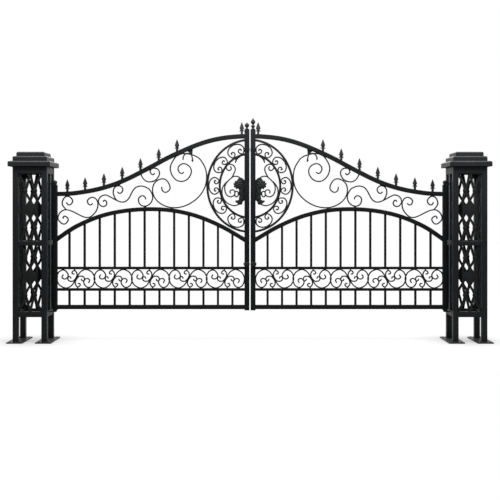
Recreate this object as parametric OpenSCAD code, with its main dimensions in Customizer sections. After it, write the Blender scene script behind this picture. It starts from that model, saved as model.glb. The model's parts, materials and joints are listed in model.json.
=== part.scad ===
// Double swing driveway gate: two arched leaves of bars and scrolls between two
// open lattice posts. Millimetres, +Z up, +X along the gate, +Y away from the drive.
// The origin is the centre of the underside of the left post's inner base plate.

/* [Opening] */
// Clear width between the two posts
opening = 3600; // [3200:50:4000]
// Gap between the two meeting stiles
meeting_gap = 10; // [10:1:16]
// Gap between a post and its leaf
post_gap = 21; // [18:1:26]

/* [Posts] */
// Width and depth of a post's cage
post_w = 305; // [280:5:340]
// Height of the cage, up to the cap
post_h = 1565; // [1500:5:1650]
// Side of a leg's box section
leg_w = 50; // [45:1:55]
// Height of the beam under the cap
top_beam_h = 63; // [55:1:70]
// Height and centre of the middle crossbars
mid_beam_h = 41; // [36:1:46]
mid_beam_z = 884; // [860:1:920]
// Height and centre of the lower crossbars
low_beam_h = 49; // [42:1:54]
low_beam_z = 253; // [240:1:280]
// Thickness of the lattice bars, and how far they sit behind a leg's face
lattice_t = 12; // [8:1:14]
lattice_inset = 12; // [10:1:22]
// Width of a lattice bar
lattice_bar = 17; // [12:1:18]
// How far each pattern's lozenge sits from its window's middle, towards the crossbar
lattice_shift = 18; // [0:1:24]
// Width, length and thickness of a base plate
plate_w = 140; // [120:5:160]
plate_l = 390; // [370:5:410]
plate_t = 10; // [8:1:12]
// Anchor bolt hole in a base plate
anchor_d = 14; // [12:1:18]

/* [Cap] */
// How far the lower slab stands out past the cage
cap_overhang = 35; // [25:1:40]
// How far the top slab stands in from the cage
cap_inset = 27; // [20:1:40]
// Heights of the lower, middle and top slabs
cap_heights = [48, 45, 40]; // [30:1:60]
// Chamfer round the top of each slab
cap_chamfer = 7; // [4:1:10]

/* [Leaf frame] */
// Side of the hinge stile's box section, and of the meeting stile's
stile_w = 40; // [36:1:44]
meet_w = 45; // [40:1:48]
// Bottom of both stiles
stile_z = 275; // [260:5:300]
// Top of the hinge stile
hinge_stile_top = 1406; // [1400:1:1420]
// Top of the meeting stile
meeting_stile_top = 1913; // [1900:1:1930]
// Side of the top rail, and of the arched and bottom rails
top_rail_w = 40; // [36:1:44]
rail_w = 38; // [34:1:40]
// Centre of the bottom rail
bottom_rail_z = 304; // [300:1:320]
// Side of the two rails of the scroll band
band_rail_w = 24; // [20:1:26]
// Centres of the lower and upper rails of the scroll band
band_low_z = 462; // [455:1:470]
band_high_z = 656; // [650:1:665]

/* [Infill] */
// Pickets in a leaf
picket_count = 12; // [10:1:14]
// Side of a picket
picket_w = 20; // [16:1:20]
// First picket's distance from the hinge axis, and its distance from the next
picket_first = 129; // [120:1:135]
picket_pitch = 137; // [134:1:138]
// How much closer each picket stands than the one before
picket_close = 0.65; // [0:0.05:0.8]
// Width and thickness of a scroll's bar
scroll_w = 12; // [10:1:12]
scroll_t = 14; // [10:1:16]
// Motifs in the scroll band
band_motifs = 5; // [5:1:5]
// Height of a spear above the top rail's centre line
spear_h = 130; // [120:1:140]

/* [Medallion] */
// Height of the medallion's centre
medal_z = 1398; // [1390:1:1405]
// Half width and half height of the outer ring's centre line
medal_outer = [385, 415]; // [380:1:418]
// Half width and half height of the inner ring's centre line
medal_inner = [273, 288]; // [268:1:292]
// Width of a ring's bar
ring_w = 20; // [16:1:22]

/* [Hinges and latch] */
// Diameter of a hinge pin, and the clearance round it
pin_d = 16; // [14:1:18]
pin_play = 0.2; // [0.1:0.05:0.2]
// Length of a hinge pin inside a stile
pin_l = 55; // [50:1:60]
// Radius of the ball over the top hinge
ball_r = 19; // [16:1:20]
// Side of the latch's barrel and keeper
latch_w = 27; // [25:1:30]
// Centre height of the latch and of the stop collars
latch_z = 693; // [690:1:700]
stop_z = 1725; // [1715:1:1740]
// Diameter of the sliding bolt
bolt_d = 15; // [14:1:16]

/* [Hidden] */
$fn = 48;

// Distances from the middle of the gate
post_x = opening / 2 + post_w / 2;
leg_off = post_w / 2 - leg_w / 2;
plate_x = post_x - leg_off;
hinge_x = opening / 2 - post_gap - stile_w / 2;
// Distances from the hinge axis, along a leaf
stile_face = stile_w / 2;
meet_face = hinge_x - meeting_gap / 2 - meet_w;
meet_axis = meet_face + meet_w / 2;
// Width of a post's window, and a lattice's distance from the post's middle
window_w = post_w - 2 * leg_w;
lattice_off = post_w / 2 - lattice_inset - lattice_t / 2;
// Spacing of a base plate's anchor holes along x and y
anchor_x = 90;
anchor_y = 340;
// Overlap of shapes that make up one piece
lap = 1;
// Hinge arm's height and width, and its clearance from the stile with the washer's
arm_h = 14;
arm_w = 30;
hinge_clear = 5;
washer_d = stile_w - 10;
washer_gap = 0.3;
// End cap of the meeting stile, and how far it stands in from the tube's faces
end_cap_t = 8;
end_cap_in = 6;
// Stop collar's height, how far it stands proud of the stile, and its reach into the gap
collar_h = 29;
collar_proud = 5;
collar_reach = 2;
// Rosette's place on the cast leaf and its radius, its eye's, and their thicknesses
rosette = [1649, 1412];
rosette_r = 35;
eye_r = 14;
leaf_t = 14;
rosette_t = 26;
eye_t = 34;
// Latch: middle of the barrel, its length, and its slot for the knob
latch_y = -meet_w / 2 - latch_w / 2;
barrel_l = 52;
slot_w = 9;
slot_l = 42;
slot_end = 4;
// Bolt's length and the place of its tip from the middle of the gap, and its knob
bolt_l = 58;
bolt_tip = -1.5;
knob_d = 8;
knob_head_d = 14;
knob_head_t = 8;
// Play of the bolt in the keeper, and the keeper's length
keeper_play = 3;
keeper_l = meet_w + 7;
dark = "#26272a";
black = "#1c1d1f";

// Point of a smooth curve between b and c, at t from 0 to 1
function between(a, b, c, d, t) = 0.5 * (2 * b + (c - a) * t
  + (2 * a - 5 * b + 4 * c - d) * t * t + (3 * b - a - 3 * c + d) * t * t * t);

// Smooth curve through all the points of p, with n steps from one to the next
function smooth(p, n = 2) = let (last = len(p) - 1) concat(
  [for (i = [0:last - 1], j = [0:n - 1])
    between(p[max(i - 1, 0)], p[i], p[i + 1], p[min(i + 2, last)], j / n)],
  [p[last]]);

// Unit vector square to the line of points p at point i
function across(p, i) = let (d = p[min(i + 1, len(p) - 1)] - p[max(i - 1, 0)])
  [-d[1], d[0]] / norm(d);

function turned(p) = [for (q = p) -q];

// Outline of a bar of width w that follows the points p, with round ends
module bar(p, w = scroll_w) {
  for (i = [0:len(p) - 2]) {
    a = across(p, i) * w / 2;
    b = across(p, i + 1) * w / 2;
    polygon([p[i] - a, p[i + 1] - b, p[i + 1] + b, p[i] + a]);
  }
  for (end = [p[0], p[len(p) - 1]]) translate(end) circle(d = w, $fn = 12);
}

// Flat piece of thickness t, upright in the plane of the leaf
module upright(t) rotate([90, 0, 0]) linear_extrude(t, center = true) children();

// The same for bars that cross or touch, which become one outline, drawn a hair
// small so that it stays clear of its neighbours
module fused(t) upright(t) offset(delta = -0.03) offset(delta = 0.02) children();

// Places: a post or a leaf on the left side, and its mirror image on the right
module left_post() translate([plate_x - post_x, 0, 0]) children();
module right_post() translate([plate_x + post_x, 0, 0]) mirror([1, 0, 0]) children();
module left_leaf() translate([plate_x - hinge_x, 0, 0]) children();
module right_leaf() translate([plate_x + hinge_x, 0, 0]) mirror([1, 0, 0]) children();

// ---- posts, drawn about their own middle with the leaf on the +X side ----

// Crossbars round all four sides, h high about z
module beam_ring(z, h) {
  for (s = [-1, 1]) {
    translate([0, s * leg_off, z]) cube([post_w - leg_w, leg_w, h], center = true);
    translate([s * leg_off, 0, z]) cube([leg_w, post_w - leg_w, h], center = true);
  }
}

// Four box legs, three rings of crossbars and the bar that carries the hinges
module post_frame() {
  color(dark) {
    for (x = [-leg_off, leg_off], y = [-leg_off, leg_off])
      translate([x - leg_w / 2, y - leg_w / 2, plate_t])
        cube([leg_w, leg_w, post_h - plate_t]);
    beam_ring(post_h - top_beam_h / 2, top_beam_h);
    beam_ring(mid_beam_z, mid_beam_h);
    beam_ring(low_beam_z, low_beam_h);
    translate([post_w / 2 - lattice_inset, -stile_w / 2, low_beam_z])
      cube([lattice_inset, stile_w, post_h - top_beam_h - low_beam_z + lap]);
  }
}

// One window of lattice, h high, with its pattern moved down by shift: a lozenge
// plate between two pairs of crossed bars, with a boss at each crossing
module lattice_window(h, shift) {
  boss_r = 18;
  cross = [43, 166];
  lozenge = [61, 92];
  edge = window_w / 2;
  top = h / 2 + lattice_shift;
  intersection() {
    square([window_w, h], center = true);
    translate([0, -shift]) {
      polygon([[-lozenge[0], 0], [0, lozenge[1]], [lozenge[0], 0], [0, -lozenge[1]]]);
      for (sx = [0, 1], sz = [0, 1]) mirror([sx, 0]) mirror([0, sz]) {
        bar(smooth([[edge, top + 6], [88, top - 30], [60, 234], cross, [27, 126],
          [4, lozenge[1] - 4]], 3), lattice_bar);
        bar(smooth([[4, top + 6], [12, top - 46], [28, 202], cross, [55, 120],
          [60, 62], [lozenge[0] - 6, 0]], 3), lattice_bar);
        translate(cross) circle(r = boss_r, $fn = 20);
      }
    }
  }
}

// The two windows of one side of a post, standing in the plane y = 0
module lattice_side() {
  low = low_beam_z + low_beam_h / 2;
  mid_low = mid_beam_z - mid_beam_h / 2;
  mid_high = mid_beam_z + mid_beam_h / 2;
  top = post_h - top_beam_h;
  color(black) fused(lattice_t) {
    translate([0, (low + mid_low) / 2]) lattice_window(mid_low - low, -lattice_shift);
    translate([0, (mid_high + top) / 2]) lattice_window(top - mid_high, lattice_shift);
  }
}

module front_lattice() translate([0, -lattice_off, 0]) lattice_side();
module back_lattice() translate([0, lattice_off, 0]) lattice_side();
module inner_lattice() translate([lattice_off, 0, 0]) rotate([0, 0, 90]) lattice_side();
module outer_lattice() translate([-lattice_off, 0, 0]) rotate([0, 0, 90]) lattice_side();

// Square slab of side w and height h on z, with its top edge chamfered
module cap_slab(w, z, h) {
  hull() {
    translate([-w / 2, -w / 2, z]) cube([w, w, h - cap_chamfer]);
    translate([-w / 2 + cap_chamfer, -w / 2 + cap_chamfer, z])
      cube([w - 2 * cap_chamfer, w - 2 * cap_chamfer, h]);
  }
}

module post_cap() {
  color(dark) {
    cap_slab(post_w + 2 * cap_overhang, post_h, cap_heights[0]);
    cap_slab(post_w, post_h + cap_heights[0] - lap, cap_heights[1] + lap);
    cap_slab(post_w - 2 * cap_inset, post_h + cap_heights[0] + cap_heights[1] - lap,
      cap_heights[2] + lap);
  }
}

// Two plates under the legs, each with four anchor holes
module base_plates() {
  color(dark) for (x = [-leg_off, leg_off]) translate([x, 0, 0])
    difference() {
      translate([-plate_w / 2, -plate_l / 2, 0]) cube([plate_w, plate_l, plate_t]);
      for (sx = [-1, 1], sy = [-1, 1])
        translate([sx * anchor_x / 2, sy * anchor_y / 2, -lap])
          cylinder(d = anchor_d, h = plate_t + 2 * lap);
    }
}

// Arm from the post to the hinge axis, with its top at z
module hinge_arm(z) {
  translate([post_w / 2, -arm_w / 2, z - arm_h])
    cube([post_gap + stile_w / 2, arm_w, arm_h]);
  translate([post_w / 2 + post_gap + stile_w / 2, 0, z - arm_h])
    cylinder(d = arm_w, h = arm_h);
}

// Top hinge with its ball and the pin below it, and bottom hinge with its pin above
module hinges() {
  axis_x = post_w / 2 + post_gap + stile_w / 2;
  top_arm_low = hinge_stile_top + hinge_clear;
  bottom_arm_top = stile_z - hinge_clear;
  color(black) {
    union() {
      hinge_arm(top_arm_low + arm_h);
      translate([axis_x, 0, top_arm_low + arm_h + ball_r / 4]) sphere(r = ball_r);
      translate([axis_x, 0, hinge_stile_top - pin_l])
        cylinder(d = pin_d, h = pin_l + hinge_clear + lap);
      translate([axis_x, 0, hinge_stile_top + washer_gap])
        cylinder(d = washer_d, h = hinge_clear);
    }
    union() {
      hinge_arm(bottom_arm_top);
      translate([axis_x, 0, bottom_arm_top - lap])
        cylinder(d = pin_d, h = pin_l + hinge_clear + lap);
      translate([axis_x, 0, bottom_arm_top - lap])
        cylinder(d = washer_d, h = hinge_clear - washer_gap + lap);
    }
  }
}

// ---- leaf, drawn with the hinge axis at x = 0 and the meeting stile on +X ----

// Centre line of the top rail, from the hinge stile up to the meeting stile
top_line = [[stile_face, 1324], [137, 1328], [245, 1341], [353, 1360], [462, 1388],
  [570, 1425], [679, 1473], [787, 1528], [895, 1585], [1004, 1644], [1112, 1695],
  [1220, 1743], [1329, 1784], [1437, 1814], [1545, 1833], [1654, 1843], [meet_face, 1845]];
// Places along it which carry a spear
spear_places = [110, 270, 440, 605, 770, 935, 1100, 1685];
// Centre line of the arched rail
arch_line = [[stile_face, 919], [190, 1031], [410, 1124], [630, 1172], [855, 1187],
  [1070, 1173], [1290, 1121], [1510, 1027], [meet_face, 911]];

module between_stiles() {
  intersection() {
    translate([stile_face, 0]) square([meet_face - stile_face, 2100]);
    union() children();
  }
}

module top_rail_outline() {
  last = top_line[len(top_line) - 1];
  line = concat([top_line[0] - [20, 0]], smooth(top_line, 3), [last + [20, 0]]);
  between_stiles() bar(line, top_rail_w);
}

// Line of the arched rail, carried on past both stiles
function arch_points() = let (p = smooth(arch_line, 6), n = len(p) - 1)
  concat([2 * p[0] - p[1]], p, [2 * p[n] - p[n - 1]]);

module arched_rail_outline() between_stiles() bar(arch_points(), rail_w);

module hinge_stile() {
  bore_l = pin_l + 5;
  color(dark) difference() {
    translate([-stile_w / 2, -stile_w / 2, stile_z])
      cube([stile_w, stile_w, hinge_stile_top - stile_z]);
    for (z = [stile_z - lap, hinge_stile_top - bore_l])
      translate([0, 0, z]) cylinder(d = pin_d + pin_play, h = bore_l + lap);
  }
}

// Outline of the stop collar, which reaches into the gap between the leaves
module collar_outline() {
  translate([meet_face - collar_proud, stop_z - collar_h / 2])
    square([meet_w + collar_proud + collar_reach, collar_h]);
}

module meeting_stile() {
  color(dark) {
    translate([meet_face, -meet_w / 2, stile_z])
      cube([meet_w, meet_w, meeting_stile_top - end_cap_t - stile_z]);
    translate([meet_face + end_cap_in, end_cap_in - meet_w / 2, meeting_stile_top - end_cap_t - lap])
      cube([meet_w - 2 * end_cap_in, meet_w - 2 * end_cap_in, end_cap_t + lap]);
    upright(meet_w + 2 * collar_proud) collar_outline();
  }
}

module top_rail() color(dark) fused(top_rail_w) top_rail_outline();

module arched_rail() color(dark) fused(rail_w) arched_rail_outline();

module lower_rails() {
  color(dark) upright(rail_w) translate([stile_face, bottom_rail_z - rail_w / 2])
    square([meet_face - stile_face, rail_w]);
  color(dark) upright(band_rail_w) for (z = [band_low_z, band_high_z])
    translate([stile_face, z - band_rail_w / 2])
      square([meet_face - stile_face, band_rail_w]);
}

// Pickets below the scroll band and from the band up to the arched rail
module pickets() {
  low = bottom_rail_z + rail_w / 2;
  high = band_high_z + band_rail_w / 2;
  color(dark) for (i = [0:picket_count - 1]) {
    u = picket_first + i * picket_pitch - i * (i - 1) / 2 * picket_close;
    upright(picket_w) translate([u - picket_w / 2, low])
      square([picket_w, band_low_z - band_rail_w / 2 - low]);
    upright(picket_w) difference() {
      translate([u - picket_w / 2, high])
        square([picket_w, lookup(u, smooth(arch_line)) - high]);
      arched_rail_outline();
    }
  }
}

// One motif of the band about its own middle: a large S scroll, a little longer
// towards the hinge, and a small double scroll that crosses it
module band_motif() {
  large = smooth([[0, 0], [31, 52], [57, 73], [91, 84], [135, 65], [155, 41], [167, 13],
    [168, -10], [161, -41], [143, -67], [114, -79], [91, -70], [73, -47], [69, -26],
    [78, -8], [98, 3], [117, -5], [122, -18], [113, -34]]);
  small = smooth([[48, -5], [54, -17], [67, -18], [75, -8], [74, 5], [65, 18], [47, 23],
    [28, 21], [10, 5], [-4, -18], [-8, -42], [-1, -61], [13, -74], [28, -69], [37, -57],
    [32, -45], [19, -43]]);
  for (half = [large, [for (p = large) [-1.04 * p[0], -p[1]]], small, turned(small)])
    bar(half);
  for (s = [-1, 1]) translate([13 * s, -82 * s]) square([scroll_w, 18], center = true);
}

module scroll_band() {
  pitch = (meet_face - stile_face) / band_motifs;
  low = band_low_z + band_rail_w / 2;
  high = band_high_z - band_rail_w / 2;
  color(black) fused(scroll_t) intersection() {
    translate([stile_face, low]) square([meet_face - stile_face, high - low]);
    for (i = [0:band_motifs - 1])
      translate([stile_face + (i + 0.5) * pitch, (low + high) / 2]) band_motif();
  }
}

// Spear head with two small barbs, on a square neck that stands on the top rail
module spears() {
  neck_top = 46;
  head = spear_h - neck_top;
  color(black) for (u = spear_places) {
    z = lookup(u, top_line);
    upright(picket_w) difference() {
      translate([u - picket_w / 2, z]) square([picket_w, neck_top]);
      offset(delta = 0.02) top_rail_outline();
    }
    translate([u, 0, z + neck_top]) rotate_extrude()
      polygon([[0, 0], [9, 0], [24, 2], [23, 9], [10, 17], [11, 22], [19, 38], [14, 55],
        [0, head]]);
  }
}

// Scrolls between the arched rail and the top rail, as their centre lines
hinge_scroll = [[70, 1107], [81, 1125], [107, 1113], [117, 1090], [96, 1058], [67, 1055],
  [38, 1079], [24, 1107], [38, 1148], [67, 1174], [101, 1182], [153, 1168], [245, 1122],
  [286, 1113], [320, 1119], [355, 1151], [378, 1188], [386, 1240], [372, 1274],
  [355, 1289], [329, 1294], [303, 1280], [291, 1260], [300, 1234], [320, 1225],
  [336, 1237]];
hinge_curl = [[104, 1246], [116, 1228], [136, 1228], [153, 1246], [156, 1269],
  [136, 1294], [110, 1303], [81, 1289], [64, 1251], [70, 1217], [101, 1182]];
second_scroll = [[435, 1258], [447, 1269], [464, 1251], [461, 1225], [435, 1211],
  [407, 1222], [389, 1257], [407, 1297], [447, 1315], [481, 1306], [562, 1263],
  [608, 1251], [643, 1263], [669, 1292], [695, 1343], [729, 1384], [781, 1396],
  [827, 1381], [855, 1360], [879, 1312], [875, 1267], [852, 1233], [810, 1214],
  [769, 1228], [752, 1263], [758, 1292], [787, 1309], [810, 1297], [816, 1280]];
second_curl = [[565, 1341], [582, 1329], [602, 1341], [611, 1366], [597, 1390],
  [574, 1398], [545, 1390], [528, 1366], [525, 1326], [545, 1280], [562, 1263]];
rail_curl = [[775, 1499], [798, 1459], [833, 1436], [868, 1436], [910, 1453],
  [941, 1502], [931, 1543], [896, 1557], [868, 1550], [858, 1530], [861, 1516],
  [879, 1498], [896, 1509]];
great_scroll = [[962, 1384], [968, 1355], [996, 1339], [1028, 1357], [1036, 1391],
  [1008, 1445], [962, 1461], [906, 1433], [879, 1371], [896, 1295], [958, 1233],
  [1055, 1201], [1165, 1215], [1268, 1273], [1338, 1357], [1366, 1447], [1360, 1543],
  [1325, 1613], [1283, 1659], [1200, 1687], [1131, 1685], [1083, 1653], [1040, 1571],
  [1055, 1495], [1096, 1450], [1141, 1438], [1193, 1457], [1228, 1515], [1214, 1571],
  [1158, 1599], [1114, 1571], [1114, 1533], [1138, 1509], [1158, 1519]];
crest_hook = [[1155, 1637], [1159, 1668], [1193, 1692], [1231, 1675], [1242, 1619]];
// Small bracket between the hook and the top rail, and the hook's thick tip
rail_bracket = [[1180, 1722], [1245, 1750], [1238, 1676], [1225, 1684]];
hook_tip = [1238, 1629];

module crest_scrolls() {
  color(black) fused(scroll_t) difference() {
    between_stiles()
      {
        for (line = [hinge_scroll, hinge_curl, second_scroll, second_curl, rail_curl,
            great_scroll, crest_hook])
          bar(smooth(line));
        polygon(rail_bracket);
        translate(hook_tip) circle(r = scroll_w * 0.75, $fn = 16);
      }
    top_rail_outline();
    arched_rail_outline();
    translate([hinge_x, medal_z]) oval(medal_outer + [ring_w, ring_w] / 2);
  }
}

// Oval with half width r[0] and half height r[1]
module oval(r) polygon([for (a = [0:5:355]) [r[0] * cos(a), r[1] * sin(a)]]);

module oval_ring(r) {
  difference() {
    oval(r + [ring_w, ring_w] / 2);
    oval(r - [ring_w, ring_w] / 2);
  }
}

// Half of a C scroll, out from the middle of its back and down to its curl
c_half = [[0, 3], [30, 8], [48, 15], [66, 30], [76, 54], [62, 84], [41, 93], [18, 73],
  [28, 54], [48, 57], [45, 66]];

// C scroll between the two rings, at an angle from the top towards the hinge side
module ring_scroll(angle) {
  inner_edge = medal_outer - [ring_w, ring_w] / 2;
  gap = norm([(medal_outer[0] - medal_inner[0]) * sin(angle),
    (medal_outer[1] - medal_inner[1]) * cos(angle)]) - ring_w;
  half = [for (p = smooth(c_half)) [p[0], -p[1] * gap / 91]];
  translate([-inner_edge[0] * sin(angle), inner_edge[1] * cos(angle)]) rotate(angle) {
    bar(half);
    mirror([1, 0]) bar(half);
  }
}

// Half of the double ring, with five C scrolls between its two bars
module medallion_ring() {
  color(black) fused(ring_w) difference() {
    between_stiles() translate([hinge_x, medal_z]) {
      oval_ring(medal_outer);
      oval_ring(medal_inner);
      for (angle = [24, 57, 90, 121, 156]) ring_scroll(angle);
    }
    top_rail_outline();
    collar_outline();
  }
}

// Scrolls inside the inner ring, as their centre lines
heart_top = [[1583, 1571], [1588, 1551], [1573, 1535], [1551, 1550], [1545, 1574],
  [1577, 1593], [1615, 1578], [1628, 1543], [1594, 1474], [1535, 1419], [1535, 1357],
  [1587, 1301], [1621, 1336], [1597, 1364], [1580, 1336]];
heart_low = [[1535, 1419], [1507, 1357], [1518, 1288], [1587, 1225], [1621, 1219],
  [1656, 1229]];
heart_branch = [[1594, 1474], [1649, 1481], [1684, 1460]];
heart_loop = [[1621, 1336], [1630, 1350], [1645, 1348], [1653, 1325], [1645, 1300],
  [1630, 1300], [1621, 1318]];
// Tapered spur on the inner ring
spur = [[1622, 1604], [1632, 1604], [1645, 1637], [1672, 1655], [1690, 1690], [1635, 1690],
  [1627, 1645]];

module heart_scrolls() {
  color(black) fused(scroll_t) difference() {
    between_stiles() intersection() {
      translate([hinge_x, medal_z]) oval(medal_inner - [ring_w, ring_w] / 2);
      union() {
        for (line = [heart_top, heart_low, heart_branch, heart_loop]) bar(smooth(line, 3));
        polygon(spur);
      }
    }
    leaf_outline();
    translate(rosette) circle(r = rosette_r, $fn = 36);
  }
}

// Edge of the cast leaf, which is fixed to the meeting stile
leaf_edge = [[meet_face + 4, 1447], [1670, 1471], [1622, 1440], [1611, 1412],
  [1622, 1381], [1655, 1371], [1660, 1329], [1662, 1288], [1650, 1266], [1630, 1268],
  [1628, 1250], [1649, 1239], [1665, 1226], [1697, 1232], [meet_face + 4, 1240]];
module leaf_outline() polygon(smooth(leaf_edge, 3));

module leaf_ornament() {
  color(black) {
    fused(leaf_t) between_stiles() leaf_outline();
    translate([rosette[0], 0, rosette[1]]) rotate([90, 0, 0]) {
      cylinder(r = rosette_r, h = rosette_t, center = true);
      cylinder(r = eye_r, h = eye_t, center = true);
    }
  }
}

// Ball with a small point, on the left meeting stile
module ball_finial() {
  color(black) translate([meet_axis, 0, meeting_stile_top]) rotate_extrude()
    polygon(concat([[0, 0], [12, 0], [12, 4], [8, 8]],
      [for (a = [-60:15:60]) [21 * cos(a), 31 + 21 * sin(a)]], [[0, 59]]));
}

// Bead below a tapering bulb, on the right meeting stile
module bulb_finial() {
  color(black) translate([meet_axis, 0, meeting_stile_top]) rotate_extrude()
    polygon(concat([[0, 0], [12, 0], [12, 4], [9, 8]],
      [for (a = [-50:20:50]) [19 * cos(a), 22 + 12 * sin(a)]],
      [[9, 38]], [for (a = [-60:15:30]) [21 * cos(a), 62 + 21 * sin(a)]],
      [[7, 86], [0, 98]]));
}

// ---- latch, drawn with the middle of the gap at x = 0 ----
module gate_middle() translate([plate_x, latch_y, latch_z]) children();

// Box barrel on the left meeting stile, bored for the bolt and slotted for its knob
module latch_barrel() {
  color(black) gate_middle() difference() {
    translate([-meeting_gap / 2 - barrel_l, -latch_w / 2, -latch_w / 2])
      cube([barrel_l, latch_w, latch_w]);
    translate([-meeting_gap / 2 - barrel_l - lap, 0, 0]) rotate([0, 90, 0])
      cylinder(d = bolt_d + pin_play, h = barrel_l + 2 * lap);
    translate([-meeting_gap / 2 - barrel_l + slot_end, -latch_w, -slot_w / 2])
      cube([slot_l, latch_w, slot_w]);
  }
}

module latch_bolt() {
  color(dark) gate_middle() {
    translate([bolt_tip - bolt_l, 0, 0]) rotate([0, 90, 0]) cylinder(d = bolt_d, h = bolt_l);
    translate([-meeting_gap / 2 - barrel_l + slot_end + slot_w / 2, 0, 0])
      rotate([90, 0, 0]) {
        cylinder(d = knob_d, h = latch_w);
        translate([0, 0, latch_w - knob_head_t]) cylinder(d = knob_head_d, h = knob_head_t);
      }
  }
}

// Keeper on the right meeting stile, with a blind bore for the bolt
module latch_keeper() {
  color(black) gate_middle() difference() {
    translate([meeting_gap / 2, -latch_w / 2, -latch_w / 2])
      cube([keeper_l, latch_w, latch_w]);
    rotate([0, 90, 0]) cylinder(d = bolt_d + keeper_play, h = meeting_gap / 2 + meet_w);
  }
}

left_post() post_frame();  // left_post_frame
left_post() front_lattice();  // left_post_front_lattice
left_post() back_lattice();  // left_post_back_lattice
left_post() inner_lattice();  // left_post_inner_lattice
left_post() outer_lattice();  // left_post_outer_lattice
left_post() post_cap();  // left_post_cap
left_post() base_plates();  // left_base_plates
left_post() hinges();  // left_hinges
right_post() post_frame();  // right_post_frame
right_post() front_lattice();  // right_post_front_lattice
right_post() back_lattice();  // right_post_back_lattice
right_post() inner_lattice();  // right_post_inner_lattice
right_post() outer_lattice();  // right_post_outer_lattice
right_post() post_cap();  // right_post_cap
right_post() base_plates();  // right_base_plates
right_post() hinges();  // right_hinges
left_leaf() hinge_stile();  // left_hinge_stile
left_leaf() meeting_stile();  // left_meeting_stile
left_leaf() top_rail();  // left_top_rail
left_leaf() arched_rail();  // left_arched_rail
left_leaf() lower_rails();  // left_lower_rails
left_leaf() pickets();  // left_pickets
left_leaf() scroll_band();  // left_scroll_band
left_leaf() spears();  // left_spears
left_leaf() crest_scrolls();  // left_crest_scrolls
left_leaf() medallion_ring();  // left_medallion_ring
left_leaf() heart_scrolls();  // left_heart_scrolls
left_leaf() leaf_ornament();  // left_leaf_ornament
left_leaf() ball_finial();  // left_finial
right_leaf() hinge_stile();  // right_hinge_stile
right_leaf() meeting_stile();  // right_meeting_stile
right_leaf() top_rail();  // right_top_rail
right_leaf() arched_rail();  // right_arched_rail
right_leaf() lower_rails();  // right_lower_rails
right_leaf() pickets();  // right_pickets
right_leaf() scroll_band();  // right_scroll_band
right_leaf() spears();  // right_spears
right_leaf() crest_scrolls();  // right_crest_scrolls
right_leaf() medallion_ring();  // right_medallion_ring
right_leaf() heart_scrolls();  // right_heart_scrolls
right_leaf() leaf_ornament();  // right_leaf_ornament
right_leaf() bulb_finial();  // right_finial
latch_barrel();
latch_bolt();
latch_keeper();
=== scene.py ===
import json
import math

import bpy
import numpy as np
from mathutils import Matrix, Vector, geometry


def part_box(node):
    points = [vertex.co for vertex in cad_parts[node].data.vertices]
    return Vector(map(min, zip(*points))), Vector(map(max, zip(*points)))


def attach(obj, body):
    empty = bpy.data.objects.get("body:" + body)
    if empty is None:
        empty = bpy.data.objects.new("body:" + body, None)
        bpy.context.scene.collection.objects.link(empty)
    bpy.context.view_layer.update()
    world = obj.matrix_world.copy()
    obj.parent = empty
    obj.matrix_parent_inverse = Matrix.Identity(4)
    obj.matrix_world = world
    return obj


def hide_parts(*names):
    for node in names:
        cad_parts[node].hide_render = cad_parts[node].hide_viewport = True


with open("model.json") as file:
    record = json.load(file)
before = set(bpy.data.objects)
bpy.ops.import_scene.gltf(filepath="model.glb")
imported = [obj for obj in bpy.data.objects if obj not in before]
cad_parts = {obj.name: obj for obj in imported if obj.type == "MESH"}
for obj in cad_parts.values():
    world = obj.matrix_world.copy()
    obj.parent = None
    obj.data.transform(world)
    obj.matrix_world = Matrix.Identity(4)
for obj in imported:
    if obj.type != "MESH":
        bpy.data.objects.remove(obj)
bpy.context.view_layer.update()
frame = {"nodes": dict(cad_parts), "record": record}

bpy.ops.object.select_all(action="DESELECT")
bpy.context.tool_settings.mesh_select_mode = (False, True, False)

# ---- camera ----
# It stands on the drive in front of the gate, level, on the middle line between the
# posts and at about the height of the arched rail.
middle = (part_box("left_meeting_stile")[1].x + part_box("right_meeting_stile")[0].x) / 2
post_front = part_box("left_post_frame")[0].y
eye_height = 1.157
stand_back = 7.9
bpy.ops.object.camera_add(location=(middle, post_front - stand_back, eye_height),
                          rotation=(math.radians(90), 0, 0))
camera = bpy.context.object
camera.data.sensor_width = 36
camera.data.lens = 64.2
camera.data.shift_y = -0.075
bpy.context.scene.camera = camera


# ---- floor and light ----
# A plain white floor of rolled paper in a white room. Two long soft lamps, one high in
# front of the gate and one behind it, light its upper half most, and the room fills in
# the rest. The floor is a touch greyer near the gate, and a soft shadow is painted on it at its
# feet.
def linear(code):
    """Linear RGBA of an sRGB hex colour."""
    parts = [int(code[i:i + 2], 16) / 255 for i in (1, 3, 5)]
    return [c / 12.92 if c <= 0.04045 else ((c + 0.055) / 1.055) ** 2.4 for c in parts] + [1]


def add_node(tree, kind, links, **settings):
    """A new node with its settings, and its inputs set to values or linked to outputs."""
    new = tree.nodes.new(kind)
    for key, value in settings.items():
        setattr(new, key, value)
    for socket, value in links.items():
        if isinstance(value, bpy.types.NodeSocket):
            tree.links.new(value, new.inputs[socket])
        else:
            new.inputs[socket].default_value = value
    return new


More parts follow.
